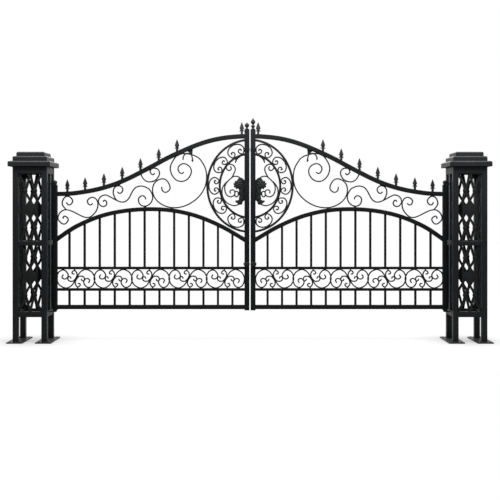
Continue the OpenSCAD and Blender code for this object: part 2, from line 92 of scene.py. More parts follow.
floor_side = 60
glow_near = 0.875
glow_far = 0.985
glow_reach = 4.5
oval = (0.3, 1, 0)
in_front = (0, 0.3, 0)
shadow_reach = 0.4
bpy.ops.mesh.primitive_plane_add(size=floor_side, location=(middle, 0, 0))
floor = bpy.context.object
floor.name = "floor"
paper = bpy.data.materials.new("white_paper_floor")
paper.use_nodes = True
tree = paper.node_tree
shader = tree.nodes["Principled BSDF"]
shader.inputs["Roughness"].default_value = 0.9
shader.inputs["Specular IOR Level"].default_value = 0
shader.inputs["Emission Color"].default_value = linear("#ffffff")
seen = add_node(tree, "ShaderNodeLightPath", {}).outputs["Is Camera Ray"]
grey = add_node(tree, "ShaderNodeMapRange", {"Value": seen, "To Min": 0.58, "To Max": 0.1})
tree.links.new(grey.outputs["Result"], shader.inputs["Base Color"])
# The greyer patch is a long oval about a point 0.3 m in front of the gate.
place = add_node(tree, "ShaderNodeTexCoord", {}).outputs["Object"]
offset = add_node(tree, "ShaderNodeVectorMath", {0: place, 1: oval, 2: in_front},
                  operation="MULTIPLY_ADD")
away = add_node(tree, "ShaderNodeVectorMath", {0: offset.outputs["Vector"]}, operation="LENGTH")
level = add_node(tree, "ShaderNodeMapRange",
                 {"Value": away.outputs["Value"], "From Max": glow_reach,
                  "To Min": glow_near, "To Max": glow_far}, interpolation_type="SMOOTHSTEP")
# The glow is dimmed by ambient occlusion, so a soft shadow is painted on the floor round the gate's
# feet.
openness = add_node(tree, "ShaderNodeAmbientOcclusion", {"Distance": shadow_reach}, samples=8)
glow_with_painted_shadow = add_node(tree, "ShaderNodeMath", {0: openness.outputs["AO"], 1: level.outputs["Result"]},
               operation="MULTIPLY")
glow = add_node(tree, "ShaderNodeMath", {0: seen, 1: glow_with_painted_shadow.outputs["Value"]}, operation="MULTIPLY")
tree.links.new(glow.outputs["Value"], shader.inputs["Emission Strength"])
floor.data.materials.append(paper)

room_fill = 0.29
world = bpy.data.worlds.new("white_room")
bpy.context.scene.world = world
world.use_nodes = True
tree = world.node_tree
room = tree.nodes["Background"]
room.inputs["Color"].default_value = linear("#ffffff")
ray = add_node(tree, "ShaderNodeLightPath", {}).outputs
seen_in_gloss = add_node(tree, "ShaderNodeMath",
                         {0: ray["Is Glossy Ray"], 1: ray["Is Transmission Ray"]},
                         operation="MAXIMUM").outputs["Value"]
seen = add_node(tree, "ShaderNodeMath", {0: ray["Is Camera Ray"], 1: seen_in_gloss},
                operation="MAXIMUM").outputs["Value"]
strength = add_node(tree, "ShaderNodeMapRange", {"Value": seen, "To Min": room_fill, "To Max": 1})
tree.links.new(strength.outputs["Result"], room.inputs["Strength"])

for name, spot, tilt, power in (("front_lamp", (middle + 0.5, -0.6, 2.45), 30, 165),
                                ("back_lamp", (middle, 1.6, 2.7), -45, 150)):
    bpy.ops.object.light_add(type="AREA", location=spot, rotation=(math.radians(tilt), 0, 0))
    bpy.context.object.name = name
    lamp = bpy.context.object.data
    lamp.shape = "RECTANGLE"
    lamp.size = 6.5
    lamp.size_y = 0.9
    lamp.energy = power
bpy.context.scene.view_settings.view_transform = "Standard"


# ---- base plates ----
# Flat steel plates, 10 mm thick, one under each pair of legs. They are sawn from bar,
# with their edges eased, and drilled for four anchors each.
def activate(piece):
    """Selects one piece alone, for the operators that follow."""
    bpy.ops.object.select_all(action="DESELECT")
    piece.select_set(True)
    bpy.context.view_layer.objects.active = piece


def edit_all():
    """Opens the active piece in edit mode, selected all over."""
    bpy.ops.object.mode_set(mode="EDIT")
    bpy.ops.mesh.select_all(action="SELECT")


def end_edit():
    """Goes back to object mode, which keeps the edits."""
    bpy.ops.object.mode_set(mode="OBJECT")


def new_piece(name, mesh):
    """A new piece in the scene with a mesh."""
    piece = bpy.data.objects.new(name, mesh)
    bpy.context.scene.collection.objects.link(piece)
    return piece


def welded_copy(node, name):
    """A copy of a CAD node as one closed mesh with its flat faces whole."""
    piece = new_piece(name, frame["nodes"][node].data.copy())
    activate(piece)
    bpy.ops.mesh.customdata_custom_splitnormals_clear()
    edit_all()
    bpy.ops.mesh.remove_doubles(threshold=0.00002)
    bpy.ops.mesh.dissolve_limited(angle_limit=math.radians(1))
    end_edit()
    return piece


def smooth(piece):
    """Shades smooth all that turns gently."""
    activate(piece)
    bpy.ops.object.shade_smooth_by_angle(angle=math.radians(40))


def modified(piece, kind, **settings):
    """Adds a modifier with its settings to a piece and applies it."""
    activate(piece)
    modifier = piece.modifiers.new(kind, kind)
    for key, value in settings.items():
        setattr(modifier, key, value)
    bpy.ops.object.modifier_apply(modifier=modifier.name)


def round_edges(piece, width, segments=3, sharpest=50):
    """Rounds the edges that turn by more than an angle."""
    modified(piece, "BEVEL", width=width, segments=segments, limit_method="ANGLE",
             angle_limit=math.radians(sharpest))
    smooth(piece)


def turned_by(degrees, axis):
    """A turn about one of the axes X, Y and Z."""
    return Matrix.Rotation(math.radians(degrees), 4, axis)


def fit(piece, material, body, slot, *nodes):
    """Gives a finished piece its material and its body, and hides the CAD nodes it stands for."""
    modified(piece, "WEIGHTED_NORMAL", keep_sharp=True)
    piece.data.materials.clear()
    piece.data.materials.append(material)
    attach(piece, body)
    if nodes:
        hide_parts(*nodes)


def fit_both(piece, material, body, slot, *nodes):
    """The same for a piece of the left post or leaf and its mirror image on the right."""
    twin = new_piece(piece.name.replace("left", "right", 1), piece.data.copy())
    twin.data.transform(Matrix.Translation((2 * middle, 0, 0)) @ Matrix.Scale(-1, 4, (1, 0, 0)))
    twin.data.flip_normals()
    fit(piece, material, body, slot, *nodes)
    fit(twin, material, body.replace("left", "right"), slot,
        *[node.replace("left", "right", 1) for node in nodes])


def black_coat(name, deep, light, patch, roughness, specular, grain, strength, height,
               top_dust_and_light=0.3, texture=("ShaderNodeTexNoise", "Fac")):
    """A black coat between two blacks in patches, lighter on its tops with dust and painted light,
    with a fine grain.

    The patches, the grain and the height of its bumps are in metres."""
    material = bpy.data.materials.new(name)
    material.use_nodes = True
    tree = material.node_tree
    shader = tree.nodes["Principled BSDF"]
    shader.inputs["Specular IOR Level"].default_value = specular
    place = add_node(tree, "ShaderNodeTexCoord", {}).outputs["Object"]
    patches = add_node(tree, "ShaderNodeTexNoise",
                       {"Vector": place, "Scale": 1 / patch, "Detail": 4}).outputs["Fac"]
    blacks = add_node(tree, "ShaderNodeMix", {"Factor": patches, 6: linear(deep), 7: linear(light)},
                      data_type="RGBA").outputs[2]
    facing = add_node(tree, "ShaderNodeNewGeometry", {}).outputs["Normal"]
    up = add_node(tree, "ShaderNodeSeparateXYZ", {"Vector": facing}).outputs["Z"]
    # Faces that look up are mixed towards a dark grey: partly dust, partly a painted highlight of
    # the light from above.
    top = add_node(tree, "ShaderNodeMapRange",
                   {"Value": up, "From Min": 0.3, "From Max": 1, "To Max": top_dust_and_light}).outputs["Result"]
    top_dust_and_light_mix = add_node(tree, "ShaderNodeMath", {0: top, 1: patches},
                    operation="MULTIPLY").outputs["Value"]
    colour = add_node(tree, "ShaderNodeMix", {"Factor": top_dust_and_light_mix, 6: blacks, 7: linear("#4a4947")},
                      data_type="RGBA").outputs[2]
    tree.links.new(colour, shader.inputs["Base Color"])
    rough = add_node(tree, "ShaderNodeMapRange",
                     {"Value": patches, "To Min": roughness - 0.06, "To Max": roughness + 0.08})
    tree.links.new(rough.outputs["Result"], shader.inputs["Roughness"])
    kind, output = texture
    relief = add_node(tree, kind, {"Vector": place, "Scale": 1 / grain}).outputs[output]
    skin = add_node(tree, "ShaderNodeBump",
                    {"Height": relief, "Strength": strength, "Distance": height})
    tree.links.new(skin.outputs["Normal"], shader.inputs["Normal"])
    return material


# Satin black powder coat, sprayed dry on box steel and baked: an even, slightly leathery
# skin. Its orange peel, about 2.5 mm across, softens every highlight.
orange_peel = {"grain": 0.0025, "strength": 0.3, "height": 0.0003}
coat_on_tube = black_coat("satin_powder_coat_on_box_steel", "#111213", "#18191b", 0.25,
                          0.42, 0.12, **orange_peel)

sawn_edge = 0.0012
plates = welded_copy("left_base_plates", "left_base_plate_pair")
round_edges(plates, sawn_edge, 2)
fit_both(plates, coat_on_tube, "posts", "post_paint", "left_base_plates")


# ---- anchors ----
# Each base plate is held down by four anchor bolts set in the footing. Their heads are
# low buttons with a round socket, on thin washers, and were painted over by brush.
def built_up(name, place, sides, rings, turn=0.0):
    """A solid built up ring by ring: each is its height, half width and half depth."""
    height, wide, deep = rings[0]
    bpy.ops.mesh.primitive_circle_add(vertices=sides, radius=1, fill_type="NGON",
                                      rotation=(0, 0, turn))
    piece = bpy.context.object
    piece.name = name
    bpy.ops.object.transform_apply(location=False, rotation=True, scale=False)
    piece.scale = (wide, deep, 1)
    piece.location = place + Vector((0, 0, height))
    bpy.ops.object.transform_apply(location=True, rotation=False, scale=True)
    edit_all()
    for level, half_width, half_depth in rings[1:]:
        bpy.ops.mesh.extrude_region_move(TRANSFORM_OT_translate={"value": (0, 0, level - height)})
        bpy.ops.transform.resize(value=(half_width / wide, half_depth / deep, 1),
                                 center_override=place)
        height, wide, deep = level, half_width, half_depth
    bpy.ops.mesh.select_all(action="SELECT")
    bpy.ops.mesh.normals_make_consistent(inside=False)
    end_edit()
    return piece


def spun(name, place, profile, sides=24):
    """A turned solid from a profile of heights and radii."""
    return built_up(name, place, sides, [(height, radius, radius) for height, radius in profile])


def joined(pieces, name):
    """Several pieces made one."""
    bpy.ops.object.select_all(action="DESELECT")
    for piece in pieces:
        piece.select_set(True)
    bpy.context.view_layer.objects.active = pieces[0]
    bpy.ops.object.join()
    pieces[0].name = name
    return pieces[0]


def copied(piece, change):
    """Another of a piece, moved by a matrix, with a mesh of its own."""
    twin = new_piece(piece.name, piece.data.copy())
    twin.data.transform(change)
    return twin


washer_r = 0.012
washer_t = 0.0012
button_r = 0.0095
button_high = 0.0042
shank_r = 0.006
origin = Vector((0, 0, 0))
washer = spun("washer", origin, [(-0.0005, washer_r), (washer_t - 0.0003, washer_r),
                                 (washer_t, washer_r - 0.0004)])
dome = [(washer_t + button_high * math.sin(math.radians(a)), button_r * math.cos(math.radians(a)))
        for a in range(0, 60, 10)]
socket = [(dome[-1][0], 0.0036), (dome[-1][0] - 0.0025, 0.0032)]
button = spun("button", origin, [(-0.0095, shank_r), (washer_t, shank_r)] + dome + socket)
anchor = joined([washer, button], "anchor")
smooth(anchor)
plate_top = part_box("left_base_plates")[1].z
anchors = []
for mount in frame["record"]["mounts"]:
    if mount["kind"] == "bolt_pattern" and mount["name"].startswith("left"):
        half_x = mount["dims"]["spacing_x_mm"] / 2000
        half_y = mount["dims"]["spacing_y_mm"] / 2000
        for x in (-half_x, half_x):
            for y in (-half_y, half_y):
                spot = Vector(mount["pos_m"]) + Vector((x, y, plate_top))
                anchors.append(copied(anchor, Matrix.Translation(spot)))
bpy.data.objects.remove(anchor)

# Brushed paint on zinc-plated steel: the same black, a little glossier and patchier, with
# brush marks about 1.5 mm across.
bolt_paint = black_coat("brushed_paint_on_anchor_steel", "#101112", "#1d1d1e", 0.02,
                        0.36, 0.2, grain=0.0015, strength=0.4, height=0.0003)
fit_both(joined(anchors, "left_anchor_bolts"), bolt_paint, "posts", "post_paint")


# ---- post frames ----
# Each post is a cage of 50 mm square tube: four legs, three rings of crossbars, and a
# flat bar on the inner face that carries the hinges. The tubes have the 4 mm round
# corners of rolled section, and each joint between two is run round with a small weld.
def bevel_where(piece, width, segments, chosen):
    """Rounds the edges whose two ends pass a test."""
    activate(piece)
    bpy.ops.object.mode_set(mode="EDIT")
    bpy.ops.mesh.select_all(action="DESELECT")
    end_edit()
    corners = piece.data.vertices
    for edge in piece.data.edges:
        edge.select = chosen(corners[edge.vertices[0]].co, corners[edge.vertices[1]].co)
    bpy.ops.object.mode_set(mode="EDIT")
    bpy.ops.mesh.bevel(offset=width, segments=segments)
    end_edit()


def tube(low, high, axis, corner):
    """A tube between two opposite corners, with the edges along its axis rounded."""
    low, high = Vector(low), Vector(high)
    bpy.ops.mesh.primitive_cube_add(size=1, location=(low + high) / 2, scale=high - low)
    bpy.ops.object.transform_apply(location=True, rotation=False, scale=True)
    piece = bpy.context.object
    bevel_where(piece, corner, 3, lambda a, b: abs(b[axis] - a[axis]) > corner)
    return piece


weld_bead = 0.002


def weld_run(centre, across, deep, axis, tilt=0.0):
    """A bead of weld round a rectangle that stands square to an axis."""
    bpy.ops.mesh.primitive_plane_add(size=1)
    run = bpy.context.object
    run.scale = (across, deep, 1)
    bpy.ops.object.transform_apply(location=False, rotation=False, scale=True)
    edit_all()
    bpy.ops.mesh.bevel(offset=2 * weld_bead, segments=2, affect="VERTICES")
    bpy.ops.mesh.select_all(action="SELECT")
    bpy.ops.mesh.delete(type="ONLY_FACE")
    end_edit()
    bpy.ops.object.convert(target="CURVE")
    run = bpy.context.object
    run.data.bevel_depth = weld_bead
    run.data.bevel_resolution = 0
    bpy.ops.object.convert(target="MESH")
    run = bpy.context.object
    turns = (turned_by(90, "Y"), turned_by(90, "X"), Matrix.Identity(4))
    run.data.transform(Matrix.Translation(centre) @ Matrix.Rotation(tilt, 4, "Y") @ turns[axis])
    bpy.ops.object.shade_smooth()
    return run


cage_low, cage_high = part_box("left_post_frame")
leg = 0.05
tube_corner = 0.004
rings = ((0.2285, 0.2775), (0.8635, 0.9045), (1.502, cage_high.z))
near = (cage_low.x, cage_low.y)
far = (cage_high.x - leg, cage_high.y - leg)
tubes = []
welds = []
for x in (near[0], far[0]):
    for y in (near[1], far[1]):
        tubes.append(tube((x, y, cage_low.z), (x + leg, y + leg, cage_high.z), 2, tube_corner))
        welds.append(weld_run((x + leg / 2, y + leg / 2, cage_low.z + weld_bead / 2), leg, leg, 2))
for bottom, top in rings:
    height = (bottom + top) / 2
    tall = top - bottom - weld_bead
    deep = leg - weld_bead
    for x, y in (near, far):
        tubes.append(tube((near[0] + leg, y, bottom), (far[0], y + leg, top), 0, tube_corner))
        tubes.append(tube((x, near[1] + leg, bottom), (x + leg, far[1], top), 1, tube_corner))
        for end in (near[0] + leg, far[0]):
            welds.append(weld_run((end, y + leg / 2, height), tall, deep, 0))
        for end in (near[1] + leg, far[1]):
            welds.append(weld_run((x + leg / 2, end, height), deep, tall, 1))
windows = ((rings[0][1], rings[1][0]), (rings[1][1], rings[2][0]))
carrier_t = 0.012
carrier_half = 0.02
carrier_corner = 0.0015
for bottom, top in windows:
    tubes.append(tube((cage_high.x - carrier_t, -carrier_half, bottom),
                      (cage_high.x, carrier_half, top), 2, carrier_corner))
cage = joined(tubes, "left_post_cage")
smooth(cage)
fit_both(cage, coat_on_tube, "posts", "post_paint", "left_post_frame")

# Powder coat over a run of weld: it follows the ripples, about 4 mm apart, that the
# welder's hand left.
coat_on_weld = black_coat("satin_powder_coat_on_weld", "#0f1011", "#17181a", 0.1,
                          0.45, 0.12, grain=0.004, strength=0.8, height=0.001)
fit_both(joined(welds, "left_post_welds"), coat_on_weld, "posts", "post_paint")


# ---- lattice panels ----
# Every side of a post is filled with a cast iron panel, 12 mm thick: crossed bars with a
# domed boss at each crossing and a raised lozenge in the middle of each window.
def outlines(node, thin):
    """The closed outlines of a flat CAD piece's front, with the metal on their left."""
    mesh = frame["nodes"][node].data
    spots = {}
    sides = set()
    for face in mesh.polygons:
        if face.normal[thin] < -0.9:
            corners = []
            for index in face.vertices:
                spot = mesh.vertices[index].co
                flat = Vector((spot.x if thin == 1 else -spot.y, spot.z))
                key = (round(flat.x * 1e6), round(flat.y * 1e6))
                spots[key] = flat
                corners.append(key)
            sides.update(zip(corners, corners[1:] + corners[:1]))
    following = {start: end for start, end in sorted(sides) if (end, start) not in sides}
    loops = []
    while following:
        start = next(iter(following))
        loop = []
        while start in following:
            loop.append(spots[start])
            start = following.pop(start)
        loops.append(loop)
    return loops


def spaced(points, gap):
    """An outline without the points that stand closer than a gap to the one before."""
    kept = [points[0]]
    for point in points[1:]:
        if (point - kept[-1]).length > gap:
            kept.append(point)
    if (kept[0] - kept[-1]).length <= gap:
        kept.pop()
    return kept


sharp_turn = 62


def turn_at(points, i):
    """How far an outline turns at a point, in degrees."""
    before = points[i] - points[i - 1]
    after = points[(i + 1) % len(points)] - points[i]
    return math.degrees(before.angle_signed(after, 0))


def smoother(points):
    """An outline with one more point on each side, bowed out between gentle turns."""
    count = len(points)
    gentle = [abs(turn_at(points, i)) < sharp_turn for i in range(count)]
    result = []
    for i in range(count):
        here, there = points[i], points[(i + 1) % count]
        half = (here + there) / 2
        if gentle[i] and gentle[(i + 1) % count]:
            half += (here - points[i - 1] - points[(i + 2) % count] + there) / 16
        result += [here, half]
    return result


def relaxed(points, passes):
    """An outline with its small kinks evened out, and its corners and size kept."""
    corner = np.array([[abs(turn_at(points, i)) > sharp_turn / 2] for i in range(len(points))])
    spots = np.array(points)
    # A slightly stronger push follows each pull, so that the outline doesn't shrink.
    for pull in (0.5, -0.505) * passes:
        pulled = (np.roll(spots, 1, 0) + np.roll(spots, -1, 0)) / 2 - spots
        spots = np.where(corner, spots, spots + pull * pulled)
    return [Vector(spot) for spot in spots]


def blunted(points, cut):
    """An outline with its sharp corners cut off."""
    result = []
    for i, point in enumerate(points):
        before = points[i - 1] - point
        after = points[(i + 1) % len(points)] - point
        if abs(turn_at(points, i)) > 50:
            result += [point + before.normalized() * min(cut, before.length / 3),
                       point + after.normalized() * min(cut, after.length / 3)]
        else:
            result.append(point)
    return result


def inset(points, depth):
    """An outline moved into the metal by a depth."""
    result = []
    for i, point in enumerate(points):
        before = (point - points[i - 1]).normalized()
        after = (points[(i + 1) % len(points)] - point).normalized()
        inward = Vector((-before.y - after.y, before.x + after.x))
        result.append(point + inward * depth / max(1 + before.dot(after), 0.5))
    return result


def in_metal(points, rim, sides):
    """Whether each point lies within the outlines, by the sides to its right."""
    starts = np.array([rim[a] for a, b in sides])
    ends = np.array([rim[b] for a, b in sides])
    rises = np.where(ends[:, 1] == starts[:, 1], 1, ends[:, 1] - starts[:, 1])
    slopes = (ends[:, 0] - starts[:, 0]) / rises
    found = []
    for x, z in points:
        level_with = (starts[:, 1] > z) != (ends[:, 1] > z)
        to_the_right = starts[:, 0] + (z - starts[:, 1]) * slopes > x
        found.append(np.count_nonzero(level_with & to_the_right) % 2 == 1)
    return found


def thin_axis(low, high):
    """The axis that a flat piece is thin along, from its box."""
    return 0 if high.x - low.x < high.y - low.y else 1


def flat_bars(node, name, edge, passes=80, fuller=0, rounds=2, loops=None):
    """A flat CAD piece, or bars of its thickness with other outlines, with rounded edges."""
    low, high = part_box(node)
    thin = thin_axis(low, high)
    angles = [math.radians(a) for a in (0, 30, 60, 90)]
    profile = [(edge * (1 - math.sin(a)), low[thin] + edge * (1 - math.cos(a))) for a in angles]
    profile += [(depth, low[thin] + high[thin] - level) for depth, level in reversed(profile)]
    spots = []
    faces = []
    rim = []
    sides = []
    for loop in loops or outlines(node, thin):
        points = spaced(loop, 0.0008)
        for _ in range(rounds):
            points = smoother(points)
        points = relaxed(points, passes)
        points = inset(blunted(blunted(points, 0.0006), 0.0002), -fuller)
        count = len(points)
        start = len(spots)
        rows = [inset(points, depth) for depth, level in profile]
        for row, (depth, level) in zip(rows, profile):
            spots += [(point, level) for point in row]
        for row in range(len(profile) - 1):
            for i in range(count):
                a, b = start + row * count + i, start + row * count + (i + 1) % count
                faces.append((a, a + count, b + count, b))
        first = len(sides)
        sides += [(first + i, first + (i + 1) % count) for i in range(count)]
        rim += rows[0]
    corners, _, triangles, *_ = geometry.delaunay_2d_cdt(rim, sides, [], 1, 1e-7)
    centres = [sum((corners[i] for i in triangle), Vector((0, 0))) / 3 for triangle in triangles]
    metal = [triangle for triangle, kept in zip(triangles, in_metal(centres, rim, sides)) if kept]
    for level, order in ((profile[0][1], 1), (profile[-1][1], -1)):
        start = len(spots)
        spots += [(point, level) for point in corners]
        faces += [tuple(start + i for i in triangle[::order]) for triangle in metal]
    mesh = bpy.data.meshes.new(name)
    mesh.from_pydata([(p.x, level, p.y) if thin == 1 else (level, -p.x, p.y) for p, level in spots],
                     [], faces)
    piece = new_piece(name, mesh)
    activate(piece)
    edit_all()
    bpy.ops.mesh.remove_doubles(threshold=0.000001)
    end_edit()
    smooth(piece)
    return piece


# Powder coat on grey cast iron: duller than on tube, over the sand's fine pits, which
# are about 1.5 mm across.
coat_on_casting = black_coat("powder_coat_on_sand_cast_iron", "#0e0f10", "#191a1b", 0.06,
                             0.5, 0.12, grain=0.0015, strength=0.7, height=0.0005)

boss_profile = [(0, 0.0165), (0.002, 0.0159), (0.0032, 0.0135), (0.0036, 0.0088), (0.0027, 0.0078),
                (0.0042, 0.0062), (0.0057, 0.0038), (0.0063, 0.0012)]
panel_edge = 0.003
pad_edge = 0.0006
bar_fuller = 0.0025
crossing = (0.043, 0.166)
lozenge = (0.061, 0.092)
pad_steps = ((0, 0.78), (0.0018, 0.75), (0.0018, 0.6), (0.0048, 0.46), (0.006, 0.08))
shift = 0.018
centres = (sum(windows[0]) / 2 + shift, sum(windows[1]) / 2 - shift)
boss = spun("boss", origin, boss_profile)
pad = built_up("pad", origin, 4, [(high, lozenge[0] * part, lozenge[1] * part)
                                  for high, part in pad_steps])
round_edges(pad, pad_edge, 2, 25)
for side in ("front", "back", "inner", "outer"):
    node = f"left_post_{side}_lattice"
    low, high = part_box(node)
    thin = thin_axis(low, high)
    casts = [flat_bars(node, "panel", panel_edge, fuller=bar_fuller)]
    outwards = Matrix.Translation((0, (low[thin] - high[thin]) / 2, 0)) @ turned_by(90, "X")
    for quarter in ((0, 180) if thin == 1 else (90, 270)):
        face = turned_by(quarter, "Z") @ outwards
        for centre in centres:
            window = Matrix.Translation(((low.x + high.x) / 2, (low.y + high.y) / 2, centre)) @ face
            casts.append(copied(pad, window))
            for x in (-crossing[0], crossing[0]):
                for z in (-crossing[1], crossing[1]):
                    casts.append(copied(boss, window @ Matrix.Translation((x, z, 0))))
    panel = joined(casts, f"left_post_{side}_panel")
    smooth(panel)
    fit_both(panel, coat_on_casting, "posts", "lattice_paint", node)
bpy.data.objects.remove(boss)
bpy.data.objects.remove(pad)


# ---- caps ----
# A post's cap is folded from 2 mm sheet in three square steps, each with a small chamfer
# round its top. It is welded shut and tacked down on the cage as a closed lid.
cap_low, cap_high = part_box("left_post_cap")
cap_middle = Vector(((cap_low.x + cap_high.x) / 2, 0, 0))
chamfer = 0.009
hem = 0.003
steps = ((0.1875, 0.048), (0.1525, 0.045), (0.1255, 0.04))
sheet_corner = 0.0015


def stepped(name, place, profile):
    """A square solid from a profile of heights and half widths."""
    to_corner = math.sqrt(2)
    return built_up(name, place, 4, [(height, half * to_corner, half * to_corner)
                                     for height, half in profile], math.radians(45))


cap_profile = [(cap_low.z, steps[0][0] - hem), (cap_low.z + hem, steps[0][0])]
step_foot = cap_low.z
for half, high in steps:
    if step_foot > cap_low.z:
        cap_profile.append((step_foot, half))
    cap_profile += [(step_foot + high - chamfer, half), (step_foot + high, half - chamfer)]
    step_foot += high
cap = stepped("left_post_stepped_cap", cap_middle, cap_profile)
round_edges(cap, sheet_corner, 3, 30)

# The posts' powder coat on sheet steel. The broad flat tops are painted a patchy dark grey,
# well lighter than the sides: painted light where the lamp above falls on them, with some dust.
coat_on_cap = black_coat("dusty_satin_powder_coat_on_sheet_steel", "#111213", "#18191b", 0.25,
                         0.42, 0.12, top_dust_and_light=0.75, **orange_peel)
fit_both(cap, coat_on_cap, "posts", "post_paint", "left_post_cap")


# ---- hinges ----
# A leaf turns on two 16 mm pins, each fixed in the round eye of an arm of flat bar that
# is welded to the post. The lower arm carries the weight on a washer, and the upper one,
# under a ball, holds the stile in from above.
stile_low, stile_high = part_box("left_hinge_stile")
hinge_x = (stile_low.x + stile_high.x) / 2
axis = Vector((hinge_x, 0, 0))
eye_r = 0.015
eased = 0.002
lower_arm_high = 0.01
upper_arm_high = 0.014
ball_r = 0.019
pin_r = 0.008
pin_in = 0.055
rivet = 0.0015
clearance = 0.005
upper_arm = stile_high.z + clearance
lower_arm = stile_low.z - clearance


def turned(name, place, bottom, top, radius, ease):
    """A turned disc or rod with both its edges eased."""
    return spun(name, place, [(bottom, radius - ease), (bottom + ease, radius),
                              (top - ease, radius), (top, radius - ease)], 32)


fittings = []
for bottom, top in ((lower_arm - lower_arm_high, lower_arm),
                    (upper_arm, upper_arm + upper_arm_high)):
    arm = tube((cage_high.x, -eye_r, bottom), (hinge_x, eye_r, top), 0, eased)
    eye = turned("eye", axis, bottom, top, eye_r, eased)
    bead = weld_run((cage_high.x, 0, (bottom + top) / 2), top - bottom, 2 * eye_r, 0)
    fittings += [arm, eye, bead]
thrust_r = 0.0145
thrust_ease = 0.0006
for bottom, top in ((lower_arm, stile_low.z - 0.0003), (stile_high.z + 0.0003, upper_arm)):
    fittings.append(turned("thrust_washer", axis, bottom, top, thrust_r, thrust_ease))
fittings.append(spun("lower_pin", axis, [(lower_arm - lower_arm_high - rivet, pin_r - rivet),
                                         (lower_arm - lower_arm_high + 0.0005, pin_r),
                                         (stile_low.z + pin_in - eased, pin_r),
                                         (stile_low.z + pin_in, pin_r - eased)], 32))
fittings.append(spun("upper_pin", axis, [(stile_high.z - pin_in, pin_r - eased),
                                         (stile_high.z - pin_in + eased, pin_r),
                                         (upper_arm, pin_r)], 32))
ball_z = upper_arm + upper_arm_high + ball_r / 4
angles = [math.radians(a) for a in range(-75, 90, 15)]
fittings.append(spun("ball", axis, [(upper_arm + 0.006, 0.011)]
                     + [(ball_z + ball_r * math.sin(a), ball_r * math.cos(a)) for a in angles]
                     + [(ball_z + ball_r - 0.0001, 0.001)], 32))
hinge = joined(fittings, "left_hinge_pair")
smooth(hinge)

# Black paint on turned and forged steel: slightly glossier than the coat round it, with
# fine marks from the lathe and the hammer, about 1 mm across.
hinge_paint = black_coat("black_paint_on_forged_hinge_steel", "#0d0e0f", "#1a1b1c", 0.03,
                         0.34, 0.2, grain=0.001, strength=0.3, height=0.0003)
fit_both(hinge, hinge_paint, "posts", "hinge_steel", "left_hinges")


# ---- hinge stiles ----
# A leaf hangs on a 40 mm square tube, closed at both ends, with a rounded rim at the top.
# Each end is bored for a hinge pin. The coat is a shade deeper than the posts'.
coat_on_leaf = black_coat("deep_satin_powder_coat_on_leaf_steel", "#0a0b0c", "#121315", 0.25,
                          0.44, 0.08, **orange_peel)

stile = welded_copy("left_hinge_stile", "left_hinge_tube")
near_face = (stile_high.x - stile_low.x) / 2 - 0.0005


def on_corner(spot):
    """Whether a point is on an edge of the tube that runs up it."""
    return min(abs(spot.x - hinge_x), abs(spot.y)) > near_face


def on_top_rim(spot):
    """Whether a point is on an edge of the tube's upper end."""
    return max(abs(spot.x - hinge_x), abs(spot.y)) > near_face and spot.z > stile_high.z - 0.0005


bevel_where(stile, tube_corner, 3, lambda a, b: on_corner(a) and abs(a.z - b.z) > 0.1)
bevel_where(stile, tube_corner, 3, lambda a, b: on_top_rim(a) and on_top_rim(b))
smooth(stile)
fit_both(stile, coat_on_leaf, "left_leaf", "leaf_paint", "left_hinge_stile")


# ---- meeting stiles ----
# The stile on the other side is a 45 mm tube that stands up through the crest, with a
# stepped end cap. Near its top it wears a thick collar, held by two round-headed screws
# on each face, and the two collars stop the leaves against each other.
meet_low, meet_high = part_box("left_meeting_stile")
gap_edge = meet_high.x - 0.002
meet_w = 0.045
meet_x = gap_edge - meet_w / 2
end_cap = 0.008
parts = [tube((gap_edge - meet_w, -meet_w / 2, meet_low.z),
              (gap_edge, meet_w / 2, meet_high.z - end_cap), 2, tube_corner),
         stepped("end_cap", Vector((meet_x, 0, meet_high.z - end_cap)),
                 [(0, 0.0215), (0.002, 0.0215), (0.0035, 0.0165), (end_cap - 0.002, 0.0165),
                  (end_cap, 0.014)])]
collar_z = 1.725
collar_high = 0.029
collar_corner = 0.003
collar_rim = 0.002
screw_out = 0.012
screw_profile = [(-0.001, 0.005), (0.0005, 0.005), (0.0018, 0.0042), (0.0026, 0.0028),
                 (0.0029, 0.001)]
collar = tube((meet_low.x, meet_low.y, collar_z - collar_high / 2),
              (meet_high.x, meet_high.y, collar_z + collar_high / 2), 2, collar_corner)
round_edges(collar, collar_rim, 2)
parts.append(collar)
for x in (-screw_out, screw_out):
    for face in (-1, 1):
        screw = spun("screw", origin, screw_profile, 16)
        screw.data.transform(Matrix.Translation((meet_x + x, face * meet_high.y, collar_z))
                             @ turned_by(-90 * face, "X"))
        parts.append(screw)
stile = joined(parts, "left_meeting_tube")
smooth(stile)
fit_both(stile, coat_on_leaf, "left_leaf", "leaf_paint", "left_meeting_stile")


# ---- rails ----
# The top rail and the arched rail are square tube, rolled to their curves and cut to fit
# between the stiles. The bottom rail and the two small band rails are straight.
for part in ("top_rail", "arched_rail"):
    rail = flat_bars("left_" + part, f"left_{part}_tube", tube_corner)
    fit_both(rail, coat_on_leaf, "left_leaf", "leaf_paint", "left_" + part)
rail = welded_copy("left_lower_rails", "left_lower_rail_tubes")
small_tube_corner = 0.003
round_edges(rail, small_tube_corner)
fit_both(rail, coat_on_leaf, "left_leaf", "leaf_paint", "left_lower_rails")
welds = []
for part in ("top_rail", "arched_rail", "lower_rails"):
    low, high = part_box("left_" + part)
    mesh = frame["nodes"]["left_" + part].data
    for end in (low.x, high.x):
        levels = sorted({round(v.co.z, 4) for v in mesh.vertices if abs(v.co.x - end) < 0.0001})
        for bottom, top in zip(levels[::2], levels[1::2]):
            deep = 2 * max(abs(v.co.y) for v in mesh.vertices
                           if abs(v.co.x - end) < 0.0001 and abs(v.co.z - bottom) < 0.0001)
            spot = (end, 0, (bottom + top) / 2)
            welds.append(weld_run(spot, top - bottom - weld_bead, deep - weld_bead, 0))


